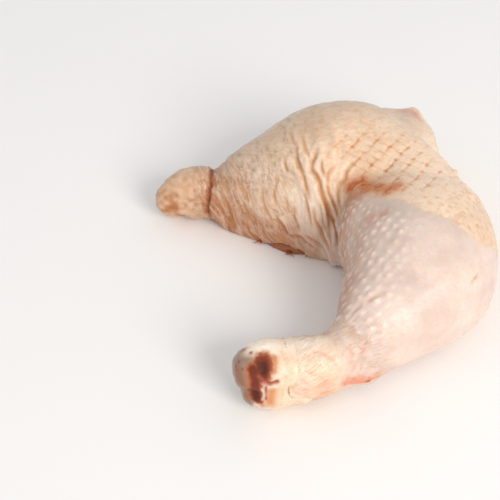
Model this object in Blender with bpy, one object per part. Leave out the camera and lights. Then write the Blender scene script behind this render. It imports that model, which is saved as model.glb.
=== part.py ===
"""A raw chicken leg with its thigh, back piece and tail, skin side up, as it lies on a table.

Three solids make it: the skin-covered flesh, the bare muscle under the thigh, and the shank bone
whose joint end shows where the foot was cut off.

Units: lengths are named in millimetres and turned to metres where the meshes are made. +Z is up.
The foot end points towards -X and -Y, and the back of the bird lies towards +Y.
"""

import math

import bmesh
import bpy
import numpy as np
from mathutils import Vector, noise

MM = 0.001

# Driving sizes, in millimetres unless a name says otherwise
LEG_LENGTH = 170.0       # foot end to flank corner, along Y; every form follows it
CLEARANCE = 0.45         # between neighbouring pieces, so that touching meshes never overlap
SKIN_VOXEL = 1.7         # grid of the joined flesh before it is thinned out
BONE_VOXEL = 1.0
MEAT_VOXEL = 1.6
SKIN_TRIANGLES = 6600
MEAT_TRIANGLES = 1800    # before the half below the table level is cut away
BONE_TRIANGLES = 900
SKIN_RELAX = 8           # smoothing passes over each joined form
BONE_RELAX = 3
MEAT_RELAX = 4
RELAX_SHARE = 0.5
RING_SIDES = 28
STEPS_BETWEEN = 5
CAP_RISE = 0.45          # height of a form's rounded end, as a share of its half width
CAP_WIDTH_LIMIT = 12.0   # wider forms end no rounder than this
CAP_SHOULDER = (0.62, 0.75)     # ring between rim and tip: share of the width, share of the rise
SHARP_ANGLE = math.radians(50)

# Each flesh form is a row of stations along its spine:
# centre x, y, z, half width across the spine, half height.
# They are drawn on the leg's own grid, which is then scaled to LEG_LENGTH.
DRUMSTICK = (
    (-40.0, 7.0, 15.2, 8.5, 10.5),
    (-30.0, 9.3, 15.6, 12.6, 15.4),
    (-14.0, 12.5, 15.5, 12.4, 14.4),
    (1.0, 17.0, 15.5, 11.0, 12.6),
    (12.0, 23.5, 18.5, 14.0, 15.6),
    (23.0, 36.0, 23.0, 22.8, 22.0),
    (33.5, 51.0, 26.0, 31.0, 27.5),
    (37.5, 69.0, 26.5, 32.5, 29.0),
    (34.5, 87.0, 25.5, 33.0, 27.5),
    (28.5, 101.0, 22.0, 26.5, 20.5),
)
KNEE = (
    (50.5, 66.0, 24.0, 15.0, 17.0),
    (48.0, 78.0, 24.0, 22.0, 24.0),
    (39.5, 98.0, 24.0, 21.5, 27.5),
    (31.0, 116.0, 23.0, 21.0, 28.0),
)
THIGH = (
    (55.0, 90.0, 20.0, 10.0, 14.0),
    (47.0, 99.0, 21.0, 18.0, 25.0),
    (31.0, 115.0, 21.0, 25.0, 32.0),
    (13.0, 128.5, 18.0, 35.5, 41.5),
    (-8.0, 131.0, 15.5, 34.0, 39.0),
    (-29.0, 130.0, 13.5, 24.5, 29.0),
    (-45.0, 128.5, 12.5, 14.5, 21.0),
    (-51.0, 127.5, 12.5, 10.0, 15.0),
)
CREASE_WEB = (
    (10.0, 106.0, 13.0, 10.0, 15.0),
    (5.0, 99.0, 8.0, 7.0, 10.0),
    (3.5, 94.5, 6.5, 4.0, 6.5),
)
FLANK = (
    (8.0, 136.0, 15.0, 28.0, 27.0),
    (23.5, 152.0, 17.5, 22.5, 26.0),
    (34.0, 163.0, 18.5, 18.5, 20.5),
    (37.0, 173.5, 19.0, 11.0, 14.5),
)
FLANK_SLOPE = (          # from the top of the thigh down to the flank corner
    (29.0, 121.0, 20.0, 21.0, 31.0),
    (32.5, 138.0, 19.0, 19.5, 27.5),
    (34.5, 153.0, 18.5, 17.0, 23.0),
    (36.0, 165.0, 18.5, 12.5, 17.5),
)
BACK_EDGE = (            # the far side, where the leg was cut from the back
    (-54.0, 132.0, 12.0, 8.0, 9.0),
    (-42.0, 137.5, 12.0, 11.0, 12.0),
    (-26.0, 146.0, 12.5, 13.5, 15.0),
    (-8.0, 155.0, 13.0, 13.5, 16.0),
    (12.0, 161.5, 13.5, 12.5, 16.5),
    (30.0, 167.5, 15.0, 10.0, 16.0),
)
TAIL = (
    (-46.0, 126.5, 13.5, 11.0, 13.0),
    (-53.0, 130.0, 13.5, 9.8, 12.0),
    (-60.5, 131.5, 14.0, 10.5, 13.0),
    (-69.0, 130.5, 12.5, 9.8, 11.5),
    (-77.5, 127.5, 10.5, 5.8, 7.0),
)
TORN_TAG = (             # a scrap left under the shank where the skin was nicked
    (6.0, 18.5, 7.5, 3.0, 3.0),
    (12.0, 17.0, 6.5, 3.4, 3.0),
    (18.0, 16.8, 6.5, 2.6, 2.2),
)
# The bare muscle on the inner side of the thigh, which the leg lies on
INNER_MUSCLE = (
    (34.0, 112.0, 0.0, 11.0, 8.0),
    (22.0, 119.0, 0.0, 21.0, 12.0),
    (2.0, 125.0, 0.0, 23.0, 14.0),
    (-18.0, 127.0, 0.0, 20.0, 13.0),
    (-36.0, 126.0, 0.0, 12.0, 9.0),
)
MUSCLE_LIP = (           # the strip that shows below the skin's edge, in front of the thigh
    (-3.0, 109.0, 0.0, 6.0, 6.5),
    (-11.0, 110.5, 0.0, 9.0, 8.5),
    (-20.0, 113.5, 0.0, 9.0, 8.5),
    (-28.0, 117.0, 0.0, 5.5, 6.0),
)
# The shank bone: a straight shaft from the joint end into the calf
BONE_SHAFT = (
    (-25.5, 9.8, 15.5, 8.0, 9.0),
    (-16.0, 12.6, 15.8, 5.6, 6.0),
    (-6.0, 15.7, 16.6, 4.0, 4.2),
    (10.0, 20.7, 18.4, 3.9, 4.0),
    (22.0, 24.4, 19.6, 4.4, 4.6),
    (30.0, 26.9, 20.5, 5.8, 6.2),
)
# The two rollers of its joint end, one above the other, narrow where the bone begins
UPPER_ROLLER = (
    (-34.0, 8.2, 19.6, 8.0, 8.0),
    (-26.0, 10.0, 19.6, 11.6, 11.2),
    (-17.0, 12.4, 19.2, 10.6, 9.6),
    (-9.0, 14.6, 18.6, 6.0, 6.0),
)
LOWER_ROLLER = (
    (-31.5, 6.6, 11.4, 7.5, 6.5),
    (-24.0, 8.8, 11.2, 11.0, 9.4),
    (-16.5, 11.2, 11.6, 10.2, 8.2),
    (-9.0, 13.6, 13.6, 6.0, 6.0),
)
SKIN_END = Vector((-16.5, 5.0, 15.0))      # where the skin stops at the joint end
SKIN_END_FACES = Vector((-0.98, -0.18, 0.02))
SKIN_END_REACH = 28.0    # half the size of the block that ends it
TABLE = Vector((0.0, 90.0, 0.0))
TABLE_REACH = 150.0

# Folds of loose skin that fan out from the bend behind the knee
FAN_CENTRE = (10.0, 74.0)
FAN_SPACING = math.radians(8.5)
FAN_FROM = (math.radians(82), math.radians(104))      # the folds fade in between these turns
FAN_TO = (math.radians(172), math.radians(180))       # and fade out between these
FAN_START = (8.0, 22.0)          # distances from the fan's centre
FAN_FINISH = (42.0, 66.0)
FOLD_WANDER = 0.55               # how far a fold strays sideways, in fold spacings
FOLD_WANDER_LENGTH = 15.0
FOLD_SEED = 5.0
FOLD_SHARPNESS = 0.7             # under 1 gives broad ridges and narrow valleys
FOLD_HEIGHT = 1.1
FOLD_LEVEL = 0.6                 # part of the fold's height that lies below the smooth skin
SAG = 1.2                        # slow unevenness of the soft flesh
SAG_LENGTH = 26.0
SAG_SEED = 11.0
SEED_STEP = Vector((1.0, 2.3, -1.7))     # how far one seed lies from the next in the noise
SAG_FROM = (-30.0, 0.0)          # none at the tail and the joint end, full from here on, in X

# Colours, linear red, green and blue
RAW_SKIN = (0.82, 0.64, 0.48)
CARTILAGE = (0.60, 0.42, 0.33)
RAW_MUSCLE = (0.60, 0.24, 0.17)


def clear_scene():
    for obj in list(bpy.data.objects):
        bpy.data.objects.remove(obj, do_unlink=True)


def surface(name, colour, roughness, subsurface):
    """A damp, slightly see-through food surface."""
    material = bpy.data.materials.new(name)
    material.use_nodes = True
    shader = material.node_tree.nodes["Principled BSDF"]
    shader.inputs["Base Color"].default_value = (*colour, 1.0)
    shader.inputs["Metallic"].default_value = 0.0
    shader.inputs["Roughness"].default_value = roughness
    shader.inputs["Subsurface Weight"].default_value = subsurface
    return material


def finish(obj, material):
    obj.data.materials.clear()
    obj.data.materials.append(material)
    obj.data.shade_smooth()
    obj.data.set_sharp_from_angle(angle=SHARP_ANGLE)


def new_object(name, mesh):
    """Puts a bmesh into the scene as an object."""
    bmesh.ops.recalc_face_normals(mesh, faces=mesh.faces)
    data = bpy.data.meshes.new(name)
    mesh.to_mesh(data)
    mesh.free()
    obj = bpy.data.objects.new(name, data)
    bpy.context.scene.collection.objects.link(obj)
    return obj


def through(stations, steps):
    """Rows of values on a smooth curve through the stations (Catmull-Rom)."""
    rows = np.array(stations, float)
    padded = np.vstack([2 * rows[0] - rows[1], rows, 2 * rows[-1] - rows[-2]])
    made = []
    for i in range(len(rows) - 1):
        a, b, c, d = padded[i:i + 4]
        for t in np.arange(steps) / steps:
            made.append(
                0.5 * (2 * b + (c - a) * t + (2 * a - 5 * b + 4 * c - d) * t**2
                       + (3 * b - a - 3 * c + d) * t**3)
            )
    made.append(rows[-1])
    return np.array(made)


def round_cap(mesh, ring, centre, outward, width):
    """Closes a ring with a low dome."""
    bulge = outward * (CAP_RISE * min(width, CAP_WIDTH_LIMIT))
    narrower, part_way = CAP_SHOULDER
    middle = [
        mesh.verts.new((vert.co - centre * MM) * narrower + (centre + bulge * part_way) * MM)
        for vert in ring
    ]
    tip = mesh.verts.new((centre + bulge) * MM)
    for k, vert in enumerate(ring):
        after = (k + 1) % len(ring)
        mesh.faces.new((vert, ring[after], middle[after], middle[k]))
        mesh.faces.new((middle[k], middle[after], tip))


def lofted(name, stations):
    """A closed form with an oval ring at each point of its spine."""
    rows = through(stations, STEPS_BETWEEN)
    centres = rows[:, :3]
    tangents = np.gradient(centres, axis=0)
    mesh = bmesh.new()
    rings = []
    for centre, tangent, (across, tall) in zip(centres, tangents, rows[:, 3:5]):
        along = Vector(tangent).normalized()
        side = along.cross(Vector((0, 0, 1))).normalized()
        up = side.cross(along)
        ring = []
        for k in range(RING_SIDES):
            turn = math.tau * k / RING_SIDES
            reach = side * (across * math.cos(turn)) + up * (tall * math.sin(turn))
            ring.append(mesh.verts.new((Vector(centre) + reach) * MM))
        rings.append(ring)
    for first, second in zip(rings, rings[1:]):
        for k in range(RING_SIDES):
            after = (k + 1) % RING_SIDES
            mesh.faces.new((first[k], first[after], second[after], second[k]))
    first_way = Vector(centres[0] - centres[1]).normalized()
    last_way = Vector(centres[-1] - centres[-2]).normalized()
    round_cap(mesh, rings[0], Vector(centres[0]), first_way, rows[0, 3])
    round_cap(mesh, rings[-1], Vector(centres[-1]), last_way, rows[-1, 3])
    return new_object(name, mesh)


def applied(obj):
    """Bakes the object's modifiers into its mesh."""
    bpy.context.view_layer.update()
    graph = bpy.context.evaluated_depsgraph_get()
    made = bpy.data.meshes.new_from_object(obj.evaluated_get(graph))
    obj.modifiers.clear()
    obj.data = made
    return obj


def combine(base, other, operation):
    """One Boolean, applied, with the tool removed."""
    boolean = base.modifiers.new(operation.lower(), "BOOLEAN")
    boolean.operation = operation
    boolean.solver = "EXACT"
    boolean.object = other
    applied(base)
    bpy.data.objects.remove(other, do_unlink=True)
    return base


def merged(name, forms, voxel, relax_steps):
    """One even skin round all the forms."""
    base = forms[0]
    for other in forms[1:]:
        combine(base, other, "UNION")
    remesh = base.modifiers.new("even_grid", "REMESH")
    remesh.mode = "VOXEL"
    remesh.voxel_size = voxel * MM
    relax = base.modifiers.new("relax", "SMOOTH")
    relax.factor = RELAX_SHARE
    relax.iterations = relax_steps
    base.name = name
    return applied(base)


def thinned(obj, triangles):
    """The same surface with fewer triangles, kept where it bends."""
    count = sum(len(face.vertices) - 2 for face in obj.data.polygons)
    fewer = obj.modifiers.new("fewer", "DECIMATE")
    fewer.ratio = triangles / count
    fewer.use_collapse_triangulate = True
    return applied(obj)


def cutter_block(name, middle, faces, reach):
    """A cube that takes off what lies past a plane through middle, on the side it faces."""
    mesh = bmesh.new()
    bmesh.ops.create_cube(mesh, size=2 * reach * MM)
    block = new_object(name, mesh)
    block.location = (middle + faces.normalized() * reach) * MM
    block.rotation_mode = "QUATERNION"
    block.rotation_quaternion = faces.to_track_quat("Z", "Y")
    return block


def cut_level(obj):
    """Slices the object level with the table."""
    block = cutter_block("table_cutter", TABLE, Vector((0, 0, -1)), TABLE_REACH)
    return combine(obj, block, "DIFFERENCE")


def swollen_copy(obj, amount):
    """A cutter a little larger than the object all over."""
    cutter = bpy.data.objects.new(obj.name + "_cutter", obj.data.copy())
    bpy.context.scene.collection.objects.link(cutter)
    swell = cutter.modifiers.new("swell", "DISPLACE")
    swell.strength = amount * MM
    swell.mid_level = 0.0
    return applied(cutter)


def smooth_step(low, high, value):
    t = np.clip((value - low) / (high - low), 0.0, 1.0)
    return t * t * (3 - 2 * t)


def slow_noise(points, length, seed):
    """Soft noise, about -1 to 1, with bumps of the given length in millimetres."""
    shift = SEED_STEP * seed
    return np.array([noise.noise(Vector(p) / length + shift) for p in points])


def fan_folds(points):
    """Height of the folds, 0 in the valleys and 1 on the ridges, and where they show."""
    x, y = points[:, 0] - FAN_CENTRE[0], points[:, 1] - FAN_CENTRE[1]
    reach = np.hypot(x, y)
    turn = np.arctan2(y, x)
    wander = FOLD_WANDER * slow_noise(points, FOLD_WANDER_LENGTH, FOLD_SEED)
    wave = 0.5 + 0.5 * np.cos(math.tau * (turn / FAN_SPACING + wander))
    in_fan = smooth_step(*FAN_FROM, turn) * (1 - smooth_step(*FAN_TO, turn))
    near = smooth_step(*FAN_START, reach) * (1 - smooth_step(*FAN_FINISH, reach))
    return wave**FOLD_SHARPNESS, in_fan * near


def add_relief(obj):
    """Moves the surface in and out: fanned skin folds and slow unevenness."""
    count = len(obj.data.vertices)
    points = np.empty(count * 3)
    normals = np.empty(count * 3)
    obj.data.vertices.foreach_get("co", points)
    obj.data.vertex_normals.foreach_get("vector", normals)
    points, normals = points.reshape(-1, 3) / MM, normals.reshape(-1, 3)
    ridge, share = fan_folds(points)
    rise = FOLD_HEIGHT * (ridge - FOLD_LEVEL) * share
    rise += SAG * slow_noise(points, SAG_LENGTH, SAG_SEED) * smooth_step(*SAG_FROM, points[:, 0])
    points += normals * rise[:, None]
    obj.data.vertices.foreach_set("co", (points * MM).ravel())
    obj.data.update()


def make_skin():
    forms = [
        lofted("thigh", THIGH),
        lofted("drumstick", DRUMSTICK),
        lofted("knee", KNEE),
        lofted("crease_web", CREASE_WEB),
        lofted("flank", FLANK),
        lofted("flank_slope", FLANK_SLOPE),
        lofted("back_edge", BACK_EDGE),
        lofted("tail", TAIL),
        lofted("torn_tag", TORN_TAG),
    ]
    skin = merged("leg_skin", forms, SKIN_VOXEL, SKIN_RELAX)
    add_relief(skin)
    thinned(skin, SKIN_TRIANGLES)
    block = cutter_block("skin_end_cutter", SKIN_END, SKIN_END_FACES, SKIN_END_REACH)
    return combine(skin, block, "DIFFERENCE")


def make_bone():
    forms = [
        lofted("shaft", BONE_SHAFT),
        lofted("upper_roller", UPPER_ROLLER),
        lofted("lower_roller", LOWER_ROLLER),
    ]
    bone = merged("shank_bone", forms, BONE_VOXEL, BONE_RELAX)
    return thinned(bone, BONE_TRIANGLES)


def make_meat():
    forms = [lofted("inner_muscle", INNER_MUSCLE), lofted("muscle_lip", MUSCLE_LIP)]
    meat = merged("thigh_meat", forms, MEAT_VOXEL, MEAT_RELAX)
    return thinned(meat, MEAT_TRIANGLES)


def settle(pieces):
    """Scales the drawn leg to its length and puts the middle of its footprint at the origin."""
    corners = np.array([vert.co for piece in pieces for vert in piece.data.vertices])
    low, high = corners.min(axis=0), corners.max(axis=0)
    factor = LEG_LENGTH * MM / (high[1] - low[1])
    footprint = Vector(((low[0] + high[0]) / 2, (low[1] + high[1]) / 2, low[2]))
    for piece in pieces:
        for vert in piece.data.vertices:
            vert.co = (vert.co - footprint) * factor
        piece.data.update()


def main():
    clear_scene()
    skin, bone, meat = make_skin(), make_bone(), make_meat()
    combine(skin, swollen_copy(bone, CLEARANCE), "DIFFERENCE")
    combine(skin, swollen_copy(meat, CLEARANCE), "DIFFERENCE")
    cut_level(skin)
    cut_level(meat)
    settle([skin, bone, meat])
    finish(skin, surface("raw_skin", RAW_SKIN, 0.42, 0.3))
    finish(bone, surface("bone_and_cartilage", CARTILAGE, 0.35, 0.2))
    finish(meat, surface("raw_muscle", RAW_MUSCLE, 0.35, 0.3))


main()
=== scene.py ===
# %% [markdown]
# # A raw chicken leg
# A whole raw leg lies skin side up on a pale table: the drumstick in front, the thigh behind it, the
# tail on the left and a corner of the back on the far right. What makes it look raw is in the surface:
# thin, damp, slightly see-through skin over fat and flesh, goose bumps where feathers sat, folds that
# fan out from the bend of the knee, and a joint end with cartilage and dark blood where the foot was
# cut off. The solids give the shape, and each one gets a finer copy that carries this surface.

import functools
import itertools
import math

import bmesh
import bpy
import numpy as np
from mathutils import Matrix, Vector
from mathutils.bvhtree import BVHTree


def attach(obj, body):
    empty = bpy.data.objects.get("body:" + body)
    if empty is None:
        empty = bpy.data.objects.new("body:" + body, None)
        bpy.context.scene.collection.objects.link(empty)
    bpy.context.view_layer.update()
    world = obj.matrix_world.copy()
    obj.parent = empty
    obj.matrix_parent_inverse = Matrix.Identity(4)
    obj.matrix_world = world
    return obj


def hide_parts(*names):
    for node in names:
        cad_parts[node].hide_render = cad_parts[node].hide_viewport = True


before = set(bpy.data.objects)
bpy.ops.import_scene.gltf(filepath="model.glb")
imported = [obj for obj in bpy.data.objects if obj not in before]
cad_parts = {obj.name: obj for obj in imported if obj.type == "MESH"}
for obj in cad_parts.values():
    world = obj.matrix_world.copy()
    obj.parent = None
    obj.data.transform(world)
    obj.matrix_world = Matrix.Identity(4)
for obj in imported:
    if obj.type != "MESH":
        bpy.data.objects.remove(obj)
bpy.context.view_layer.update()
MM = 0.001

# %% [markdown]
# ## The camera
# The picture was taken from above the foot end, looking down at 40 degrees, with a long lens that
# flattens the leg. Fixing the camera first is worth it: once a ray can be cast through any spot of the
# picture, every stain, fold and dot is placed by where it shows, and still lies on the skin itself.

# %% Camera
PICTURE = 500  # pixels along each side
ELEVATION = math.radians(40)
LENS = 90.0
SENSOR = 36.0
MM_PER_PIXEL = 0.3958  # at the point that the camera looks at
LOOKS_AT = Vector((4.76, -19.38, 18.85)) * MM
LOOKS_AT_PIXEL = (330, 270)


def placed(name, data):
    """A new object in the scene."""
    made = bpy.data.objects.new(name, data)
    bpy.context.scene.collection.objects.link(made)
    return made


camera_data = bpy.data.cameras.new("picture_camera")
camera_data.lens = LENS
camera_data.sensor_width = SENSOR
camera_data.shift_x = (PICTURE / 2 - LOOKS_AT_PIXEL[0]) / PICTURE
camera_data.shift_y = (LOOKS_AT_PIXEL[1] - PICTURE / 2) / PICTURE
camera_data.clip_start = 0.01
camera = placed("picture_camera", camera_data)
bpy.context.scene.camera = camera

towards_camera = Vector((0, -math.cos(ELEVATION), math.sin(ELEVATION)))
camera_distance = PICTURE * MM_PER_PIXEL * MM * LENS / SENSOR
camera.location = LOOKS_AT + towards_camera * camera_distance
camera.rotation_mode = "QUATERNION"
camera.rotation_quaternion = (-towards_camera).to_track_quat("-Z", "Y")
print("camera distance, mm:", round(camera_distance / MM, 1))


def picture_ray(pixel):
    """The direction from the camera through a pixel of the picture."""
    across = (pixel[0] / PICTURE - 0.5 + camera_data.shift_x) * SENSOR / LENS
    up = (0.5 - pixel[1] / PICTURE + camera_data.shift_y) * SENSOR / LENS
    return (camera.rotation_quaternion @ Vector((across, up, -1.0))).normalized()


def picture_places(points):
    """Where points given in millimetres show in the picture, in pixels."""
    turn = np.array(camera.rotation_quaternion.to_matrix())
    local = (points * MM - np.array(camera.location)) @ turn
    reach = -local[:, 2] * SENSOR / LENS
    across = (local[:, 0] / reach + 0.5 - camera_data.shift_x) * PICTURE
    down = (0.5 - local[:, 1] / reach + camera_data.shift_y) * PICTURE
    return across, down


# %% [markdown]
# ## A finer copy of each solid
# The solids have flat facets of two or three millimetres, which is right for weight and contact but too
# coarse for skin. A voxel remesh lays an even grid of small faces over the same form, and a few
# smoothing passes take the facets away. Sculpting by hand would do it too, but a grid with even spacing
# lets arrays of numbers shape the relief, point by point, in one go. On the skin a last step takes a
# fifth of the faces away where the form is flat, above all underneath, so the piece stays light.

# %% Fine copies
SKIN_CELL = 0.70  # millimetres between the points of the fine skin
SKIN_PASSES = 8
SKIN_KEPT = 0.80  # share of the faces kept: the flat underside gives up the rest
BONE_CELL = 0.40
BONE_PASSES = 7
MEAT_CELL = 0.60
MEAT_PASSES = 5


def lay_even_grid(piece, cell, passes):
    """Small even faces all over the form, then smoothing."""
    grid = piece.modifiers.new("even_grid", "REMESH")
    grid.mode = "VOXEL"
    grid.voxel_size = cell * MM
    piece.modifiers.new("relax", "SMOOTH").iterations = passes


def fine_copy(node, name, cell, passes, kept=1.0):
    """An evenly meshed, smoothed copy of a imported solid, which then stands for it."""
    piece = placed(name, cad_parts[node].data.copy())
    lay_even_grid(piece, cell, passes)
    if kept < 1.0:
        piece.modifiers.new("thin_flat_places", "DECIMATE").ratio = kept
    graph = bpy.context.evaluated_depsgraph_get()
    fine = bpy.data.meshes.new_from_object(piece.evaluated_get(graph))
    piece.modifiers.clear()
    piece.data = fine
    piece.data.name = name
    piece.data.materials.clear()
    piece.data.shade_smooth()
    print(name, "has", sum(len(face.vertices) - 2 for face in fine.polygons), "triangles")
    return piece


skin = fine_copy("leg_skin", "chicken_skin", SKIN_CELL, SKIN_PASSES, SKIN_KEPT)
bone = fine_copy("shank_bone", "joint_end", BONE_CELL, BONE_PASSES)
meat = fine_copy("thigh_meat", "inner_thigh_muscle", MEAT_CELL, MEAT_PASSES)


# %% Reading and moving the points
def surface_of(piece):
    """Points in millimetres and their normals."""
    count = len(piece.data.vertices)
    points, normals = np.empty(count * 3), np.empty(count * 3)
    piece.data.vertices.foreach_get("co", points)
    piece.data.vertex_normals.foreach_get("vector", normals)
    return points.reshape(-1, 3) / MM, normals.reshape(-1, 3)


def move_points(piece, points):
    piece.data.vertices.foreach_set("co", (points * MM).ravel())
    piece.data.update()


def paint(piece, name, values, lowest=0.0, highest=1.0):
    """Keeps one number for each point, which the material reads by name."""
    layer = piece.data.attributes.new(name, "FLOAT", "POINT")
    layer.data.foreach_set("value", np.clip(values, lowest, highest).astype(np.float32))


def tree_of(piece):
    form = bmesh.new()
    form.from_mesh(piece.data)
    tree = BVHTree.FromBMesh(form)
    form.free()
    return tree


print("points of the skin:", len(surface_of(skin)[0]))

# %% [markdown]
# ## Noise, steps and paths
# Four small tools do all the shaping. Noise gives soft unevenness of a chosen size. A ramp or a bell
# fades an effect in or out. A path is a line through a few spots of the picture, dropped onto the skin.
# And the distance of every point to a path says how deep a fold or how red a stain is there.

# %% Shaping tools
def ramp(low, high, value):
    """0 below low, 1 above high, with soft ends."""
    share = np.clip((value - low) / (high - low), 0.0, 1.0)
    return share * share * (3 - 2 * share)


def bell(value, width):
    """1 where the value is 0, fading to nothing at about twice the width."""
    return np.exp(-(value / width) ** 2)


def strongest(*shares):
    """The largest of several shares, point by point."""
    return functools.reduce(np.maximum, shares)


def soft_noise(points, length, seed):
    """Smooth noise from -1 to 1 whose bumps are about length millimetres across."""
    places = points / np.asarray(length)
    cell = np.floor(places).astype(np.int64)
    part = places - cell
    part = part * part * (3 - 2 * part)
    total = np.zeros(len(points))
    for corner in itertools.product((0, 1), repeat=3):
        key = (cell + corner) @ np.array((73856093, 19349663, 83492791)) + seed * 97811
        key = ((key ^ (key >> 13)) * 1274126177) & 0x7FFFFFFF
        value = ((key ^ (key >> 15)) & 0xFFFF) / 32767.5 - 1
        share = np.prod(np.where(corner, part, 1 - part), axis=1)
        total += share * value
    return total


def rough_noise(points, length, seed):
    """Soft noise with two finer layers on top."""
    return (soft_noise(points, length, seed) + 0.5 * soft_noise(points, length / 2, seed + 1)
            + 0.25 * soft_noise(points, length / 4, seed + 2)) / 1.4


def on_surface(tree, pixel):
    """The spot of the surface that shows at a pixel, or the nearest one where the pixel misses it."""
    ray = picture_ray(pixel)
    hit = tree.ray_cast(camera.location, ray)[0]
    if hit is None:
        reach = np.linspace(0.75, 1.3, 120) * camera_distance
        found = [tree.find_nearest(camera.location + ray * r) for r in reach]
        hit = min(found, key=lambda near: near[3])[0]
    return np.array(hit) / MM


def path_on(tree, pixels):
    """A path through picture pixels, dropped onto the surface."""
    return np.array([on_surface(tree, pixel) for pixel in pixels])


def distance_to(points, path):
    """Distance of each point to a path, and how far along the path its nearest spot is, 0 to 1."""
    best = np.full(len(points), np.inf)
    along = np.zeros(len(points))
    if len(path) == 1:
        return np.linalg.norm(points - path[0], axis=1), along
    lengths = np.linalg.norm(np.diff(path, axis=0), axis=1)
    done = np.concatenate([[0], np.cumsum(lengths)])
    for start, end, length, before in zip(path[:-1], path[1:], lengths, done):
        run = end - start
        share = np.clip((points - start) @ run / (length * length), 0.0, 1.0)
        gap = np.linalg.norm(points - start - share[:, None] * run, axis=1)
        nearer = gap < best
        best[nearer] = gap[nearer]
        along[nearer] = (before + share[nearer] * length) / done[-1]
    return best, along


def dab(points, path, radius):
    """1 on a path, fading to 0 at about twice the radius, in millimetres."""
    return bell(distance_to(points, path)[0], radius)


print("a bell one width from its middle:", round(float(bell(1.0, 1.0)), 2))

# %% [markdown]
# ## Closing the rim of the skin
# The skin of the shank clings to the joint end and thins out over it, so there is no step where it
# stops. The solids leave a gap there. A third form, made by remeshing the two together and relaxing the
# result, shows how one smooth surface would run across the gap. Both pieces are then drawn onto it near
# the rim, measured outward from the axis of the bone. Before that the bone's hidden end is pushed deeper
# into the skin, and the skin's last edge dips under the tissue of the joint, so no slit opens between.

# %% Rim
RIM_MIDDLE = np.array((-10.8, -78.8, 14.1))  # where the skin stops, on the bone's axis, in millimetres
RIM_AXIS = np.array((-0.98, -0.18, 0.02))  # along the bone, out of the skin
RIM_AXIS /= np.linalg.norm(RIM_AXIS)
BLEND_CELL = 0.8
BLEND_PASSES = 26
RIM_REACH = 6.5
BONE_OVERLAP = 6.0  # how far the hidden end of the bone is pushed into the skin
RIM_STEP = -0.05  # below the blended form, so the bone stands this proud of it
RIM_TUCK = 0.9  # how deep the skin's last edge dips under the tissue of the joint
RAY_START = 22.0  # from the axis, outside the shank


def blended_form(first, second):
    """A smooth surface over two pieces, as a tree for casting rays."""
    form = bmesh.new()
    form.from_mesh(first.data)
    form.from_mesh(second.data)
    joined = bpy.data.meshes.new("blended_form")
    form.to_mesh(joined)
    form.free()
    holder = placed("blended_form", joined)
    lay_even_grid(holder, BLEND_CELL, BLEND_PASSES)
    graph = bpy.context.evaluated_depsgraph_get()
    tree = BVHTree.FromObject(holder, graph)
    bpy.data.objects.remove(holder)
    return tree


def draw_to_rim(piece, tree, inset, tuck, reach_in, reach_out):
    """Moves the points near the rim onto the blended form."""
    points, normals = surface_of(piece)
    out = points - RIM_MIDDLE
    along = out @ RIM_AXIS
    radial = out - along[:, None] * RIM_AXIS
    radius = np.linalg.norm(radial, axis=1)
    share = ramp(-reach_in, -0.4 * reach_in, along) * ramp(reach_out, 0.4 * reach_out, along)
    share *= (normals * radial).sum(axis=1) > -0.35 * radius
    share *= ramp(26.0, 20.0, radius) * ramp(5.0, 7.0, radius)
    moved = 0
    for i in np.flatnonzero(share > 0.01):
        direction = Vector(radial[i] / radius[i])
        on_axis = Vector(RIM_MIDDLE + along[i] * RIM_AXIS) * MM
        hit = tree.ray_cast(on_axis + direction * RAY_START * MM, -direction)[0]
        if hit is not None:
            wanted = (hit - on_axis).length / MM - inset - tuck * ramp(-3.6, -2.0, along[i])
            points[i] += radial[i] / radius[i] * (wanted - radius[i]) * share[i]
            moved += 1
    move_points(piece, points)
    return moved


rim_form = blended_form(skin, bone)
short_bone, _ = surface_of(bone)
push = BONE_OVERLAP * ramp(3.0, -1.0, (short_bone - RIM_MIDDLE) @ RIM_AXIS)
move_points(bone, short_bone - push[:, None] * RIM_AXIS)
print("points drawn to the rim:", draw_to_rim(skin, rim_form, 0.0, RIM_TUCK, RIM_REACH + 3, 4.0),
      draw_to_rim(bone, rim_form, RIM_STEP, 0.0, RIM_REACH, RIM_REACH))

# %% [markdown]
# ## Regions of the skin
# The leg wears two kinds of skin. Over the drumstick it is thin and tight, so the flesh shows through
# greyish pink. Over the knee and the thigh it lies on a layer of fat, so it is thick and cream. The
# border between them follows the knee. It is drawn as a curve on the leg seen from above, so it goes on
# round the side as it would on the bird.

# %% Regions
skin_tree = tree_of(skin)
points, normals = surface_of(skin)
across, down = picture_places(points)
above_table = points[:, 2]
faces_camera = ramp(-0.05, 0.30, normals @ np.array(towards_camera))
soft, rough = functools.partial(soft_noise, points), functools.partial(rough_noise, points)


def skin_path(*pixels):
    return path_on(skin_tree, pixels)


def gap_to(*pixels):
    """Distance of the skin's points to a path of pixels, and how far along it their nearest spot is."""
    return distance_to(points, skin_path(*pixels))


def skin_dab(radius, *pixels):
    return bell(gap_to(*pixels)[0], radius)


def percent(share):
    """How many of the skin's points a share covers."""
    return round(100 * float((share > 0.3).mean()), 1)


def picture_oval(middle, reach):
    """1 at a spot of the picture, fading out over a reach in pixels."""
    return np.exp(-((across - middle[0]) / reach[0]) ** 2 - ((down - middle[1]) / reach[1]) ** 2)


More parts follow.
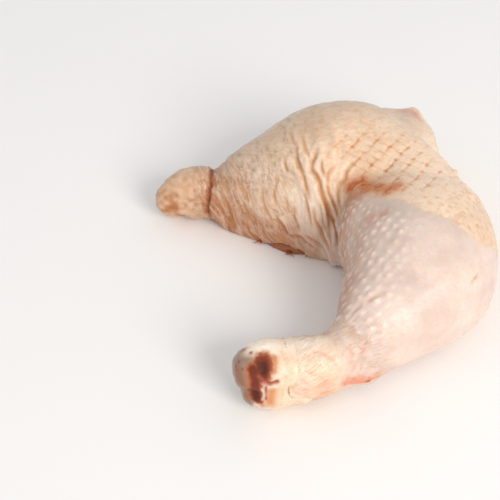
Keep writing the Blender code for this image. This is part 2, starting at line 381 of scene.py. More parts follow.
KNEE_BORDER = ((346, 200), (356, 193), (369, 195), (384, 199), (399, 200), (418, 208), (431, 213), (452, 222),
               (463, 233), (481, 245), (494, 251))
knee_border = skin_path(*KNEE_BORDER)
border_x = np.concatenate([[knee_border[0, 0] - 30], knee_border[:, 0], [knee_border[-1, 0] + 30]])
border_y = np.concatenate([[knee_border[0, 1] - 12], knee_border[:, 1], [knee_border[-1, 1] - 10]])
border_at = np.interp(points[:, 0], border_x, border_y)
border_wander = 1.6 * soft(6.0, 3) + 0.8 * soft(2.5, 4)
border_wander *= 1 + 2.0 * (1 - faces_camera)  # looser on the hidden sides
SHANK_END = -4.0  # X where the shank leaves the calf, in millimetres
border_width = 1.8 + 9.0 * (1 - faces_camera)
behind_border = points[:, 1] - border_at + border_wander
thin_skin = ramp(1.0, -1.0, behind_border / border_width)
thin_skin *= ramp(SHANK_END - 2, SHANK_END + 16, points[:, 0] + 0.35 * (points[:, 1] + 60))
print("thin skin covers", percent(thin_skin), "% of the points")

# %% [markdown]
# ## Goose bumps on the drumstick
# Each feather sat in a follicle, and the follicles stand in staggered rows along the leg, here about
# 4 mm apart. On the left of the calf, where the skin is slack, each one is a small raised oval that
# catches the light, and its top is also painted paler, as a painted highlight. On the right the skin is
# tight and only a faint yellow dot is left. A lattice of ovals is laid along the drumstick's own axis,
# with a little disorder so it doesn't look printed. It fades where that axis comes out of the inner side,
# because the rows would crowd together there.

# %% Goose bumps
CALF_START = np.array((-8.3, -71.7, 14.6))  # the drumstick's axis, in millimetres
CALF_END = np.array((41.6, -0.5, 23.6))
CALF_AXIS = (CALF_END - CALF_START) / np.linalg.norm(CALF_END - CALF_START)
CALF_RADIUS = 24.0
ROW_SPACING = 2.9  # round the leg
BUMP_SPACING = 4.1  # along the leg
BUMP_SIZE = (1.05, 0.75)  # half length along the leg, half width
BUMP_HEIGHT = 0.66


def lattice(along, around, spacing, seed, disorder):
    """Offsets along and around to the nearest centre of a staggered lattice, and a number for each."""
    row = np.round(around / spacing[1])
    best = np.full(len(along), np.inf)
    near = np.zeros((3, len(along)))
    for next_row, step in itertools.product((-1, 0, 1), repeat=2):
        line = row + next_row
        shift = 0.5 * (line % 2)
        cell = np.round(along / spacing[0] - shift) + step
        mark = np.sin(line * 127.1 + cell * 311.7 + seed) * 43758.5453
        other = np.sin(line * 269.5 + cell * 183.3 + seed) * 43758.5453
        mark, other = mark - np.floor(mark), other - np.floor(other)
        off_along = along - (cell + shift + disorder * (mark - 0.5)) * spacing[0]
        off_around = around - (line + disorder * (other - 0.5)) * spacing[1]
        gap = off_along**2 + off_around**2
        nearer = gap < best
        best[nearer] = gap[nearer]
        near[:, nearer] = np.array((off_along, off_around, mark))[:, nearer]
    return near


offset = points - CALF_START
leg_along = offset @ CALF_AXIS  # millimetres along the drumstick, and leg_around are those round it
calf_side = np.cross(CALF_AXIS, (0, 0, 1))
calf_side /= np.linalg.norm(calf_side)
leg_around = np.arctan2(offset @ calf_side, offset @ np.cross(calf_side, CALF_AXIS)) * CALF_RADIUS
from_axis = np.linalg.norm(offset - leg_along[:, None] * CALF_AXIS, axis=1)
slack = ramp(440, 378, across + 0.30 * (down - 250)) * ramp(350, 322, down)
off_along, off_around, mark = lattice(leg_along, leg_around, (BUMP_SPACING, ROW_SPACING), 5.0, 0.45)
bump = np.exp(-(off_along / BUMP_SIZE[0]) ** 2 - (off_around / BUMP_SIZE[1]) ** 2) * (0.45 + 0.9 * mark)
dot = np.exp(-((off_along + 0.5) ** 2 + off_around**2) / 0.62**2) * (mark > 0.35)
below_border = ramp(-4.0, -13.0, behind_border)
bump_share = thin_skin * (0.10 + 0.90 * slack) * (0.35 + 0.65 * below_border)
bump_share *= ramp(7, 16, above_table) * ramp(7, 14, from_axis)
rise = BUMP_HEIGHT * bump * bump_share
print("highest goose bump, mm:", round(float(rise.max()), 2))


# %% [markdown]
# Between the bumps the slack skin is drawn into fine lines that run along the leg, and where the calf
# meets the shank it is pushed into a crease with small round rolls beside it.

# %% Lines on the calf
def stretched(first, second, lengths, seed):
    """Ridged noise over two coordinates, long in one and short in the other."""
    flat = np.column_stack([first / lengths[0], second / lengths[1], np.zeros(len(first))])
    return 1 - 2 * np.abs(soft_noise(flat, 1.0, seed))


CALF_CREASES = (
    (0.45, 0.8, ((350, 317), (355, 310), (363, 303), (372, 298), (383, 292))),
    (0.12, 0.6, ((346, 303), (352, 294), (359, 287))),
    (0.12, 0.6, ((344, 288), (350, 279), (357, 271))),
    (0.30, 0.7, ((351, 325), (356, 317), (364, 312))),
)
CALF_LINES = 0.06  # heights in millimetres
CALF_UNEVENNESS = 0.10
rise += CALF_LINES * thin_skin * slack * stretched(leg_around, leg_along, (1.5, 11.0), 21)
rise += CALF_UNEVENNESS * thin_skin * rough(2.6, 22)
calf_lines = np.zeros(len(points))
for depth, half_width, pixels in CALF_CREASES:
    gap, share = gap_to(*pixels)
    groove = bell(gap, half_width) * np.sqrt(np.clip(4 * share * (1 - share) + 0.1, 0, 1))
    rise -= depth * groove
    rise += 0.4 * depth * bell(gap - 2.2 * half_width, half_width)
    calf_lines = np.maximum(calf_lines, groove * depth)
print(len(CALF_CREASES), "creases across the calf")

# %% [markdown]
# ## Folds behind the knee
# Bending the knee pushes the loose thigh skin together, and it gathers in long soft folds that run down
# to the foot of the bend. Each valley is a path of a few spots read from the picture. It sinks along its
# line and lifts a rounded roll on both sides, and its floor is painted darker and warmer as painted shade.

# %% Fold valleys
FOLD_VALLEYS = (
    # depth and half width in millimetres, then pixels from the top of the valley to its foot
    (1.1, 0.8, ((296, 147), (297, 160), (301, 170), (304, 178), (306, 188), (310, 200))),
    (0.7, 0.7, ((302, 137), (305, 149), (309, 156), (311, 163))),
    (1.9, 1.0, ((317, 150), (312, 162), (311, 170), (315, 175), (319, 182), (320, 189), (323, 197),
                (327, 206), (329, 215), (334, 222), (337, 231), (338, 241))),
    (1.3, 0.8, ((327, 183), (329, 193), (333, 203), (337, 211), (339, 219))),
    (1.0, 0.8, ((333, 167), (328, 175), (328, 184))),
    (1.0, 0.8, ((339, 184), (338, 194), (339, 203), (342, 209))),
    (1.1, 0.8, ((352, 163), (346, 172), (345, 180), (339, 186))),
    (1.2, 0.8, ((314, 209), (315, 220), (321, 229), (325, 240), (330, 248), (336, 259))),
    (1.1, 0.7, ((328, 214), (329, 223), (330, 232), (333, 243), (336, 255))),
    (0.8, 0.7, ((285, 158), (285, 165), (287, 172))),
    (0.9, 0.8, ((293, 208), (294, 217), (297, 224), (299, 230))),
    (0.6, 0.7, ((285, 194), (287, 203), (286, 211))),
    (0.8, 0.8, ((303, 190), (306, 201), (309, 214), (312, 226))),
    (0.8, 0.7, ((322, 160), (321, 168), (325, 177))),
    (0.7, 0.6, ((320, 203), (322, 214), (324, 226), (329, 236))),
    (0.6, 0.7, ((276, 170), (277, 182), (274, 194), (276, 206))),
    (0.6, 0.7, ((262, 186), (262, 198), (266, 210), (272, 221))),
    (0.5, 0.7, ((290, 132), (293, 141), (296, 147))),
)
THIGH_CREASE = ((362, 189), (353, 196), (347, 204), (343, 213), (341, 224), (339, 234), (337, 245), (337, 256),
                (337, 264))
FOLD_STRENGTH = 0.74
CREASE_FILL = 2.7  # millimetres: the bend is less deep in the skin than in the solid
CREASE_DEPTH = 1.1
valley = np.zeros(len(points))
roll_height = np.zeros(len(points))
for depth, half_width, pixels in FOLD_VALLEYS:
    gap, share = gap_to(*pixels)
    gap = gap + 0.25 * soft(3.0, 31)
    fade = np.sqrt(np.clip(4 * share * (1 - share) + 0.08, 0, 1))
    groove = bell(gap, half_width) * fade
    roll = depth * 0.5 * bell(gap - 2.2 * half_width, 1.3 * half_width) * fade
    roll_height = np.maximum(roll_height, roll)
    rise -= FOLD_STRENGTH * depth * groove
    valley = np.maximum(valley, groove * (0.35 + 0.5 * depth))
rise += FOLD_STRENGTH * roll_height * (1 - np.clip(valley, 0, 1))
crease_gap, crease_share = gap_to(*THIGH_CREASE)
crease = bell(crease_gap, 1.1) * ramp(0.0, 0.25, crease_share)
rise += CREASE_FILL * bell(crease_gap, 3.6) - CREASE_DEPTH * crease
print(len(FOLD_VALLEYS), "valleys, deepest point", round(float(rise.min()), 2), "mm")

# %% [markdown]
# ## Fine wrinkles
# Between the big folds the skin is never smooth. On the left of the thigh it hangs in slanted wrinkles
# 2.5 mm apart, with small pores between them, and near its lower edge they bend towards the knee. On top
# it is finely crinkled across. The shank has lengthwise wrinkles and a few round ones near the calf, and
# the tail is pebbled by the sockets of its quills. Noise stretched in one direction gives each of them.

# %% Wrinkles of the thigh
WRINKLE_SPACING = 6.4  # pixels, 2.5 mm
LEFT_WRINKLES = 0.66  # these are heights and depths in millimetres
LEFT_PUCKERS = 0.20
PORE_DEPTH = 0.22
CROSS_WRINKLES = 0.12
THIGH_UNEVENNESS = 0.15

thick_skin = 1 - thin_skin
on_thigh = thick_skin * ramp(-58, -48, points[:, 0]) * ramp(-2, 6, points[:, 1])
left_thigh = on_thigh * ramp(322, 288, across) * ramp(130, 180, down)
bend = np.clip(down - 175, 0, None)
lean = across - 0.30 * (down - 150) - 0.0022 * bend**2 + 5 * soft(9.0, 41)
left_wrinkles = 0.35 * stretched(lean, down, (WRINKLE_SPACING, 26.0), 42)
left_wrinkles += 0.65 * stretched(lean, down, (WRINKLE_SPACING * 0.55, 14.0), 43)
rise += LEFT_WRINKLES * left_thigh * left_wrinkles * (0.75 + 0.5 * soft(7.0, 40))
rise += LEFT_PUCKERS * left_thigh * soft(1.9, 39)
pore_marks = on_thigh * ramp(332, 286, across) * ramp(208, 172, down)
pit_down, pit_across, pit_mark = lattice(down * MM_PER_PIXEL, lean * MM_PER_PIXEL, (3.4, 2.8), 9.0, 0.9)
pits = np.exp(-(pit_down / 0.95) ** 2 - (pit_across / 0.6) ** 2) * (pit_mark > 0.35) * pore_marks
rise -= PORE_DEPTH * pits
top_thigh = on_thigh * (1 - left_thigh)
cross_wrinkles = stretched(down + 0.18 * across, across, (2.4, 10.0), 44)
rise += CROSS_WRINKLES * top_thigh * cross_wrinkles
rise += THIGH_UNEVENNESS * on_thigh * rough(2.4, 45)
print("slanted wrinkles cover", percent(left_thigh), "% of the points")

# %% Wrinkles of the shank and the tail
SHANK_WRINKLES = 0.34
SHANK_UNEVENNESS = 0.24
RING_WRINKLES = 0.42
TAIL_PEBBLES = 0.75
TAIL_BEADS = 0.55
TAIL_UNEVENNESS = 0.22
TAIL_ROOT = -50.0  # X where the tail leaves the thigh

shank = ramp(6, -6, points[:, 0] + 0.35 * (points[:, 1] + 60)) * ramp(-30, -45, points[:, 1])
shank_wrinkles = stretched(leg_around + 1.5 * soft(5.0, 37), leg_along, (2.0, 8.0), 46)
rise += SHANK_WRINKLES * shank * shank_wrinkles
rise += SHANK_UNEVENNESS * shank * rough(2.8, 47)
ring_wrinkles = bell(leg_along - 17.0, 6.0) * ramp(4, 10, above_table)
rings = stretched(leg_along + 0.4 * leg_around, leg_around, (2.3, 9.0), 48)
rise += RING_WRINKLES * ring_wrinkles * rings

tail = ramp(TAIL_ROOT + 2, TAIL_ROOT - 3, points[:, 0])
low_tail = tail * ramp(25.0, 14.0, above_table)
tail_pebbles = rough(3.4, 49)
tail_beads = soft(2.2, 38)
rise += TAIL_PEBBLES * low_tail * tail_pebbles + TAIL_BEADS * low_tail * tail_beads
rise += TAIL_UNEVENNESS * tail * rough(2.0, 50)
print("the shank covers", percent(shank), "% and the tail", percent(tail), "%")

# %% [markdown]
# ## The quilted patch above the knee
# Where the knee bends outward the thick skin is stretched into little cushions: two sets of fine lines
# cross at the follicles, and each crossing keeps an orange-brown dot of feather sheath. One set rises to
# the right, 5.3 mm apart, and the other falls to the right, 3.2 mm apart. They are drawn in the flat of
# the picture, since the patch faces the camera, and fade at its rim. The points carry only how far each
# one is from the lines, and the material draws the fine line itself, sharper than the grid could. Below
# the patch the cushions run out into fine curved wrinkles that rise to the right.

# %% Quilting
QUILT_CROSSING = (384, 153)  # pixels, one crossing of the lines
RISING_NORMAL, RISING_SPACING = (0.718, 0.695), 13.4
FALLING_NORMAL, FALLING_SPACING = (-0.447, 0.894), 8.2
QUILT_MIDDLE = (390, 161)
QUILT_REACH = (54, 29)
RISING_DEPTH, FALLING_DEPTH = 0.24, 0.12  # millimetres
ARC_HEIGHT = 0.11


def line_count(normal, spacing, seed):
    """How many line spacings a point lies from the crossing, a whole number on each line."""
    level = (across - QUILT_CROSSING[0]) * normal[0] + (down - QUILT_CROSSING[1]) * normal[1]
    return (level + 1.8 * soft(9.0, seed) + 0.7 * soft(3.0, seed + 5)) / spacing


def near_line(count, spacing, half_width):
    return bell((count - np.round(count)) * spacing, half_width)


rising = line_count(RISING_NORMAL, RISING_SPACING, 52)
falling = line_count(FALLING_NORMAL, FALLING_SPACING, 53)
quilt_reach = np.hypot((across - QUILT_MIDDLE[0]) / QUILT_REACH[0],
                       (down - QUILT_MIDDLE[1] - 0.25 * (across - QUILT_MIDDLE[0])) / QUILT_REACH[1])
quilt = ramp(1.3, 0.5, quilt_reach + 0.25 * soft(9.0, 51)) * faces_camera * thick_skin
rise -= quilt * (RISING_DEPTH * near_line(rising, RISING_SPACING, 1.9)
                 + FALLING_DEPTH * near_line(falling, FALLING_SPACING, 1.7))
quilt_dots = ramp(0.30, 0.85, near_line(rising, RISING_SPACING, 2.5) * near_line(falling, FALLING_SPACING, 2.1))
dot_strength = np.sin(np.round(rising) * 12.99 + np.round(falling) * 78.23) * 43758.5453
quilt_dots *= quilt * (0.35 + 0.65 * (dot_strength - np.floor(dot_strength)))
arcs = stretched(down + 0.30 * (across - 390) + 1.5 * soft(8.0, 55), across, (3.4, 24.0), 56)
arc_share = ramp(372, 396, across) * ramp(164, 178, down + 0.12 * (across - 390)) * thick_skin
arc_share *= faces_camera * ramp(0, 1, 1.2 - quilt)
rise += ARC_HEIGHT * arc_share * arcs
print("the quilting covers", percent(quilt), "%")

# %% [markdown]
# ## Edges, scraps and the torn tag
# The skin was cut and torn in a few places: a ragged edge over the strip of flesh under the thigh, a
# pink tag under the shank, crumbs of fat on the right edge, and a crease where the tail begins, whose
# darkness is painted shade.
# They are small, but they are what tells a real cut from a smooth model.

# %% Edges and scraps
TORN_EDGE = ((275, 212), (277, 219), (282, 226), (288, 234), (293, 237), (300, 237), (305, 241), (312, 247))
SECOND_EDGE = ((308, 237), (316, 242), (323, 248), (329, 256), (335, 263))
TAIL_CREASE = ((213, 163), (211, 172), (210, 185), (208, 200), (207, 214))
TAIL_CREASE_DEPTH = 1.6  # millimetres
FAT_CRUMBS = (((455, 173), 1.0), ((464, 185), 1.1), ((472, 196), 1.3), ((483, 215), 0.9), ((447, 161), 0.7))
TORN_TAG = ((347, 382), (356, 380), (367, 379), (375, 376))
SMALL_LIFTS = (((415, 110), 3.2, 1.4), ((428, 122), 5.0, -1.5), ((480, 203), 7.0, -0.9))

torn_gap, torn_share = gap_to(*TORN_EDGE)
second_gap, second_share = gap_to(*SECOND_EDGE)
torn_down = np.interp(across, [pixel[0] for pixel in TORN_EDGE], [pixel[1] for pixel in TORN_EDGE])
above_tear = ramp(0.0, 4.0, torn_down - down)
rise += 0.6 * bell(torn_gap - 1.8, 1.4) * above_tear - 0.9 * bell(torn_gap, 0.9) - 0.7 * bell(second_gap, 0.8)
# the crease is also painted dark, as painted shade
tail_crease = skin_dab(1.1, *TAIL_CREASE)
rise -= TAIL_CREASE_DEPTH * tail_crease
crumbs = strongest(*(size * skin_dab(size * 1.4, pixel) for pixel, size in FAT_CRUMBS))
rise += crumbs * (0.9 + 0.9 * rough(2.2, 63))
tag = skin_dab(2.6, *TORN_TAG)
tag_shreds = stretched(down, across, (1.8, 9.0), 61)
rise += 0.80 * tag * tag_shreds + 0.70 * tag * rough(2.0, 62)
for pixel, size, lift in SMALL_LIFTS:
    rise += lift * skin_dab(size, pixel)
print(len(FAT_CRUMBS), "crumbs of fat, two torn edges and a tag")

# %% [markdown]
# All of the relief is added up by now, and the points move along their normals in one go. It fades out
# where the leg rests on the table, and at the rim, where the skin is stretched thin over the bone.

# %% Moving the skin
RESTS_AT = 0.4  # the relief fades out below this height, where the leg rests
RIM_CALM = 0.9  # share of the relief taken away at the rim, where the skin is stretched
relief = rise * ramp(RESTS_AT - 0.4, RESTS_AT + 2.5, above_table)
beyond = (points - RIM_MIDDLE) @ RIM_AXIS
near_rim = ramp(-9.0, -4.5, beyond) * (np.linalg.norm(points - RIM_MIDDLE, axis=1) < 30)
relief *= 1 - RIM_CALM * near_rim
move_points(skin, points + normals * relief[:, None])
print("relief from", round(float(relief.min()), 2), "to", round(float(relief.max()), 2), "mm")

# %% [markdown]
# ## Where each tint lies
# The relief is done, and the same paths and patterns now say where the colours go. Each becomes one
# number per point, the strongest of a few shares, and the material mixes them over finer noise, so none
# of them has a hard printed edge. Red comes first: an old stain of clots behind the knee, thin red lines
# along the torn edges, and the pink of bruised skin on the calf, the shank and the corner of the back.

# %% Blood and blush
STAIN = ((354, 188), (362, 185), (370, 189), (378, 187), (386, 190), (395, 186))
CLOT_ON_TAG = (369, 381)
BLUSH = (
    # pixel, radius in millimetres, strength
    ((372, 219), 3.0, 0.60), ((384, 214), 2.4, 0.60), ((413, 113), 5.4, 1.3), ((418, 118), 4.6, 1.0),
    ((404, 111), 4.0, 0.9))
SHANK_LINES = (((293, 356), (298, 364), (299, 373)), ((314, 352), (323, 353), (331, 358), (336, 364)),
               ((309, 374), (318, 376), (328, 381)), ((303, 380), (315, 386), (330, 387)),
               ((290, 385), (300, 393), (312, 396)), ((366, 342), (362, 352), (357, 362), (352, 371)),
               ((349, 346), (352, 355), (350, 364)), ((300, 388), (318, 392), (332, 384)))

stain_gap = gap_to(*STAIN)[0] + 0.9 * soft(3.0, 70)
stain_halo = bell(stain_gap, 4.2)
clots = ramp(-0.20, 0.40, rough(1.9, 71))
blood = strongest(
    np.clip(1.3 * bell(stain_gap, 3.0) * (0.08 + 0.92 * clots), 0, 1),
    0.9 * skin_dab(0.8, CLOT_ON_TAG),
    0.9 * bell(torn_gap, 0.6) * ramp(0.25, 0.45, torn_share),
    0.9 * bell(second_gap, 0.5) * ramp(0.95, 0.6, second_share))
shaken = points + 0.5 * soft(3.0, 74)[:, None]
blush = strongest(
    *(strength * skin_dab(size, pixel) for pixel, size, strength in BLUSH),
    *(0.50 * bell(distance_to(shaken, skin_path(*pixels))[0], 0.7) for pixels in SHANK_LINES))
blush *= 0.75 + 0.5 * soft(2.2, 73)
low_shank = ramp(-3, -15, beyond) * ramp(352, 336, across) * faces_camera * shank
blush = strongest(
    blush,
    0.42 * low_shank * ramp(366, 390, down + 0.3 * (across - 320)),
    tag * (0.80 + 0.30 * tag_shreds))
print("blood covers", percent(blood), "%")

# %% [markdown]
# The rusty tint is partly the orange of fat under thin skin and partly painted shade: it lies on the
# low left of the thigh, round the tail and in its crease, in the bend behind the knee, on the side of the
# calf that faces away from the light, in hollows and near the table. Where the skin lies thin over the
# back it is greyer, and the grey under the calf is painted shade. Above the knee fat makes it yellow.

# %% Rusty skin and painted shade, grey skin and painted shade under the calf, yellow fat
# the low left of the thigh: partly rusty fat, partly painted shade on the side away from the light
low_left_rust_and_shade = on_thigh * strongest(
    ramp(31, 12, above_table + 3 * soft(12.0, 72)),
    0.55 * ramp(-12, -38, points[:, 0]) * ramp(36, 26, above_table))
low_left_rust_and_shade *= ramp(14, -10, points[:, 0]) * (1 - 0.30 * np.clip(left_wrinkles, 0, 1))
low_left_rust_and_shade *= 1 - 0.80 * picture_oval((280, 200), (19, 25))
tail_rust_and_shade = (0.24 + 0.24 * ramp(20, 8, above_table) + 0.30 * np.clip(-tail_pebbles, 0, 1)
             + 0.60 * low_tail * np.clip(-tail_beads, 0, 1))
# painted shade on the side of the calf that faces away from the light
inner_calf_shade = ramp(0.35, 0.95, 0.37 * normals[:, 1] - 0.93 * normals[:, 0]) * ramp(14, 26, leg_along)
# rusty fat mixed with painted shade: darker low down, near the table, in creases and in hollows
rust = strongest(
    0.95 * low_left_rust_and_shade,
    0.12 * crease,
    0.30 * shank * ramp(12, 3, above_table),
    0.95 * tail_crease,
    tail * tail_rust_and_shade,
    0.85 * tag * np.clip(-tag_shreds, 0, 1),
    0.18 * arc_share * ramp(0.0, 0.8, -arcs),
    0.40 * ramp(5.0, 1.0, above_table),
    inner_calf_shade * thin_skin * (0.60 + 0.35 * soft(7.0, 75)))
grey = strongest(
    0.7 * on_thigh * ramp(-8, -30, points[:, 0]) * ramp(20, 32, above_table),
    0.6 * picture_oval((392, 206), (24, 9)) * faces_camera * thin_skin,
    0.45 * on_thigh * ramp(165, 115, down + 0.25 * (across - 330)) * faces_camera,
    # painted shade: grey on the underside of the calf
    0.8 * picture_oval((386, 366), (12, 6)) * faces_camera)
yellow_fat = bell(np.hypot(across - 428, down - 178), 52) * thick_skin * faces_camera
print("rusty skin covers", percent(rust), "%")

# %% [markdown]
# Feather sheaths leave orange dots. Hollows are painted darker, as painted shade, and crests paler, as
# painted highlight: the tops of goose bumps, wrinkles, rolls and tail beads, the middle of the folds and
# the top edge of the shank.

# %% Dots, painted shade in hollows and painted highlight on crests
SMALL_NICK = ((472, 281), (477, 276))
knee_dots = dot * thick_skin * ramp(395, 425, across) * ramp(150, 175, down) * (1 - quilt)
follicles = strongest(
    dot * thin_skin * (0.16 + 0.24 * slack) * (0.35 + 0.65 * below_border),
    0.90 * quilt_dots,
    0.90 * stain_halo,
    knee_dots * (0.30 + 0.25 * faces_camera),
    0.70 * skin_dab(0.55, *SMALL_NICK))
# painted shade: darker in the hollows of the wrinkles and rings
hollow_shade = strongest(
    on_thigh * ramp(0.05, 0.55, -left_wrinkles) * left_thigh * (0.28 + 0.50 * low_left_rust_and_shade),
    0.10 * top_thigh * ramp(0.2, 0.8, -cross_wrinkles),
    0.35 * shank * ramp(0.1, 0.7, -shank_wrinkles) * ramp(-10, 2, points[:, 0]),
    0.32 * ring_wrinkles * ramp(0.0, 0.6, -rings))
off_valleys = on_thigh * (1 - np.clip(valley, 0, 1))
# painted highlight: paler colour on goose bump tops, wrinkle and roll crests, tail beads, the middle of the folds
# and the top edge of the shank
crests = strongest(
    1.3 * bump * bump_share,
    ramp(0.1, 0.8, left_wrinkles) * left_thigh * (0.5 - 0.35 * low_left_rust_and_shade),
    np.clip(roll_height, 0, 1) * off_valleys,
    picture_oval((312, 208), (24, 38)) * faces_camera * off_valleys,
    shank * ramp(360, 343, down) * ramp(345, 325, across) * faces_camera,
    0.45 * low_tail * np.clip(tail_beads, 0, 1))
# painted shade in fold valleys, wrinkle hollows and calf creases
folds = strongest(valley, hollow_shade, 0.5 * calf_lines)
loose_skin = strongest(left_thigh, 0.5 * shank, ring_wrinkles)

# %% [markdown]
# Each share is kept on the points under a name that the material reads. Four more numbers say how the
# fine wrinkles run, along and across, and how far a point lies from the quilting lines.

# %% Handing the tints to the points
layers = dict(thin_skin=thin_skin, rust=rust, blood=blood, blush=blush, follicles=follicles, folds=folds,
              shank=shank, grey=grey, quilt=quilt, crests=crests, tail_crease=tail_crease,
              yellow_fat=yellow_fat, pits=pits, loose_skin=loose_skin)
for layer_name, values in layers.items():
    paint(skin, layer_name, values)
    print(layer_name, "covers", percent(values), "%")

on_wide_skin = on_thigh > 0.5
run_along = np.where(on_wide_skin, down * MM_PER_PIXEL, leg_along)
run_across = np.where(on_wide_skin, lean * MM_PER_PIXEL, leg_around)
crossways = on_wide_skin & (left_thigh < 0.5)
run_along, run_across = np.where(crossways, run_across, run_along), np.where(crossways, run_along, run_across)
# The first two are counted in line spacings, the other two in millimetres
lines = dict(rising_lines=rising, falling_lines=falling, run_along=run_along, run_across=run_across)
for layer_name, values in lines.items():
    paint(skin, layer_name, values, -1000, 1000)

# %% [markdown]
# ## Building materials
# One function turns an sRGB hex value, as read from a colour picker, into the linear numbers that the
# shader works in. Another adds a node with its settings and its links, whatever its kind. On top of it
# stand four words that the finishes here use again and again: a share made of several factors, a tint
# laid over a colour by such a share, grain of a real size, and the wet shader that all of the flesh wears.

# %% Node tools
SKIN_IOR = 1.38  # water over protein
WATER_IOR = 1.33  # the film on top


def linear(hex_colour):
    """An sRGB hex value as linear red, green, blue and alpha."""
    parts = [int(hex_colour[i:i + 2], 16) / 255 for i in (1, 3, 5)]
    return [c / 12.92 if c <= 0.04045 else ((c + 0.055) / 1.055) ** 2.4 for c in parts] + [1.0]


def add_to(tree, kind, output=0, settings=None, **links):
    """Adds a node and gives one of its outputs. Settings are its properties. Links are its inputs, by name or
    as i and a number, and each is a value or another node's output."""
    made = tree.nodes.new("ShaderNode" + kind)
    for name, value in (settings or {}).items():
        setattr(made, name, value)
    for name, value in links.items():
        socket = made.inputs[int(name[1:]) if name[1:].isdigit() else name.replace("_", " ")]
        if isinstance(value, bpy.types.NodeSocket):
            tree.links.new(value, socket)
        else:
            socket.default_value = value
    return made.outputs[output] if made.outputs else made


def start_material(name):
    """A new material, and the function above with its tree filled in."""
    material = bpy.data.materials.new(name)
    material.use_nodes = True
    material.node_tree.nodes.clear()
    return material, functools.partial(add_to, material.node_tree)


def share_of(add, *factors):
    """The product of a few factors: names of point layers, outputs of nodes, or numbers."""
    found = [add("Attribute", "Fac", {"attribute_name": f}) if isinstance(f, str) else f for f in factors]
    return functools.reduce(lambda a, b: add("Math", 0, {"operation": "MULTIPLY"}, i0=a, i1=b), found)


def lay(add, colour, tint, *factors):
    """Lays a tint over a colour, as strongly as the product of the factors."""
    over = linear(tint) if isinstance(tint, str) else tint
    mixing = {"data_type": "RGBA", "clamp_factor": True}
    return add("Mix", 2, mixing, i0=share_of(add, *factors), i6=colour, i7=over)


def wet(add, colour, roughness, normal, glow, colours, depth, coat, coat_roughness, **links):
    """A glowing base under a film of water. The glow has a share, reaches for red, green and blue, and a
    depth in millimetres."""
    shader = add("BsdfPrincipled", Base_Color=colour, Roughness=roughness, IOR=SKIN_IOR, Normal=normal,
                 Subsurface_Weight=glow, Subsurface_Radius=colours, Subsurface_Scale=depth * MM, Coat_Weight=coat,
                 Coat_Roughness=coat_roughness, Coat_IOR=WATER_IOR, **links)
    add("OutputMaterial", i0=shader)


def grain(add, size_mm, detail=3.0, cut=None, between=(0.0, 1.0)):
    """Noise with bumps of a real size over the leg's own coordinates. A cut stretches the part between two
    levels of it to lie between two values."""
    noise = add("TexNoise", "Fac", Vector=add("TexCoord", "Object"), Scale=1 / (size_mm * MM), Detail=detail,
                Roughness=0.55)
    if cut is None:
        return noise
    return add("MapRange", i0=noise, i1=cut[0], i2=cut[1], i3=between[0], i4=between[1])


print("half of a picker's white as linear light:", round(linear("#808080")[0], 2))

# %% [markdown]
# ## Raw skin
# Chicken skin is a thin wet membrane over yellow fat. Light goes a few millimetres into it and comes out
# warmer, which softens every shadow: that is the subsurface part. The water film on top gives small
# sharp glints over broad soft ones, so there is a rough base and a smoother coat. Its index is that of
# water over protein, about 1.38. Follicles are warmer because feather sheath lies there. Folds, hollows
# and low sides get a darker, warmer tint as painted shade, and crests a paler one as painted highlight.

# %% Raw chicken skin, thick on the thigh and thin on the drumstick
THICK_SKIN = "#e4c5a7"
THICK_SKIN_LIGHT = "#f0dac0"
THIN_SKIN = "#e3cfc4"
THIN_SKIN_DEEP = "#d5c0b5"
CREST_HIGHLIGHT = "#faecde"
TAIL_CREASE_SHADE = "#96491c"
GREY_SKIN_AND_SHADE = "#c0ab9d"
SHANK_SKIN = "#efd4bc"
RUSTY_FAT_AND_SHADE = "#ac6832"
WRINKLE_SHADE = "#8a4c26"
FOLD_SHADE = "#cb8c56"
QUILT_LINE = "#cf8a50"
YELLOW_FAT = "#fee2c8"
DARK_PORE = "#94705a"
FOLLICLE = "#cc7f42"
OLD_BLOOD = "#bd5626"
BLUSH_PINK = "#da8e70"
FAT_FLECK = "#d09a6a"
SKIN_ROUGHNESS = (0.38, 0.54)
SKIN_GLOW_DEPTH = 1.8  # millimetres that light travels in the skin
SKIN_GRAIN = 0.55  # millimetres, the finest crinkles; the real ones are near 0.2
SKIN_BUMP_DEPTH = 0.14
LINE_WIDTH = 0.13  # half width of a quilting line, in line spacings


def quilting_lines(add):
    """Fine broken lines where the counted lines pass a whole number."""
    sets = []
    for name, patch, share in (("rising_lines", 4.5, 1.0), ("falling_lines", 3.0, 0.55)):
        off = add("Math", 0, {"operation": "PINGPONG"}, i0=share_of(add, name), i1=0.5)
        line = add("MapRange", i0=off, i1=LINE_WIDTH, i2=0.0)
        sets.append(share_of(add, line, grain(add, patch, 2.0, (0.42, 0.60)), share))
    both = add("Math", 0, {"operation": "MAXIMUM"}, i0=sets[0], i1=sets[1])
    return share_of(add, both, "quilt")


def running_wrinkles(add, length, width, thin):
    """Fine lines along the skin's own wrinkles, length and width in millimetres."""
    where = add("CombineXYZ", X=share_of(add, "run_along", 1 / length), Y=share_of(add, "run_across", 1 / width))
    noise = add("TexNoise", "Fac", Vector=where, Scale=1.0, Detail=2.0, Roughness=0.5)
    off = add("Math", 0, {"operation": "SUBTRACT"}, i0=noise, i1=0.5)
    return add("MapRange", i0=add("Math", 0, {"operation": "ABSOLUTE"}, i0=off), i1=thin, i2=0.0)


